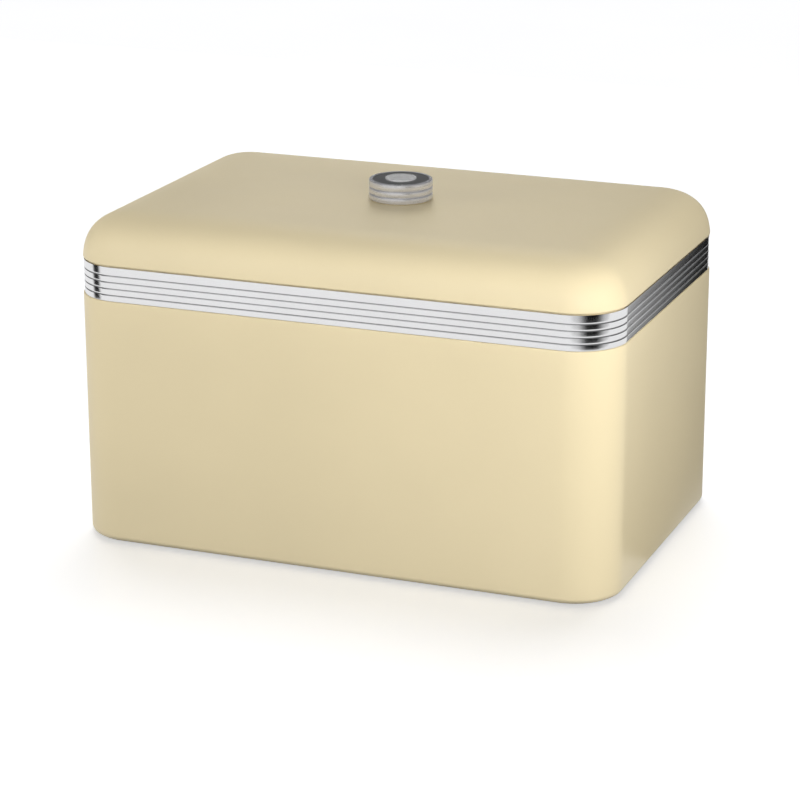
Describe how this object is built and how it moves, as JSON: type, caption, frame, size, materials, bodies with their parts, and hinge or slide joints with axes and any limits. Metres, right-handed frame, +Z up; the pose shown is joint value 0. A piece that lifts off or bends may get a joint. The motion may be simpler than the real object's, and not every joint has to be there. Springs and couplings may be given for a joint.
{
  "type": "bread bin",
  "caption": "Painted steel bread bin: rounded oblong box, ribbed bright band round the rim, and a deep rounded lift-off lid with a low ribbed metal knob in its middle.",
  "frame": {"origin": "on the surface that the bin stands on, under the middle of the box", "axes": "+X to the right along the long side, -Y towards the front, +Z up"},
  "size_m": [0.38, 0.252, 0.241],
  "materials": {
    "cream_paint": "gloss powder coat",
    "pan_paint": "gloss powder coat",
    "band_chrome": "mirror",
    "clip_chrome": "bright",
    "rivet_metal": "satin",
    "foot_rubber": "matt",
    "pad_plastic": "matt",
    "gasket_rubber": "matt",
    "knob_chrome": "mirror",
    "knob_face_metal": "satin",
    "medallion_metal": "satin with a bright rim",
    "insert_brass": "machined",
    "hardware_steel": "zinc plated"
  },
  "bodies": {
    "bin_body": {"body_wall": "cream_paint", "base_pan": "pan_paint", "foot_front_left": "foot_rubber", "foot_front_right": "foot_rubber", "foot_rear_left": "foot_rubber", "foot_rear_right": "foot_rubber", "trim_band": "band_chrome", "trim_joint_clip": "clip_chrome", "trim_rivets": "rivet_metal"},
    "lid": {"lid_shell": "cream_paint", "lid_locating_flange": "cream_paint", "lid_pad_front_left": "pad_plastic", "lid_pad_front_right": "pad_plastic", "lid_pad_rear_left": "pad_plastic", "lid_pad_rear_right": "pad_plastic", "knob_gasket": "gasket_rubber", "knob_shell": "knob_chrome", "knob_insert": "insert_brass", "knob_face_disc": "knob_face_metal", "knob_medallion": "medallion_metal", "knob_flat_washer": "hardware_steel", "knob_lock_washer": "hardware_steel", "knob_screw": "hardware_steel"}
  },
  "joints": [
    {"name": "lid_lift", "type": "slide", "parent": "bin_body", "child": "lid", "axis": [0, 0, 1], "range_m": [0, 0.12]}
  ]
}
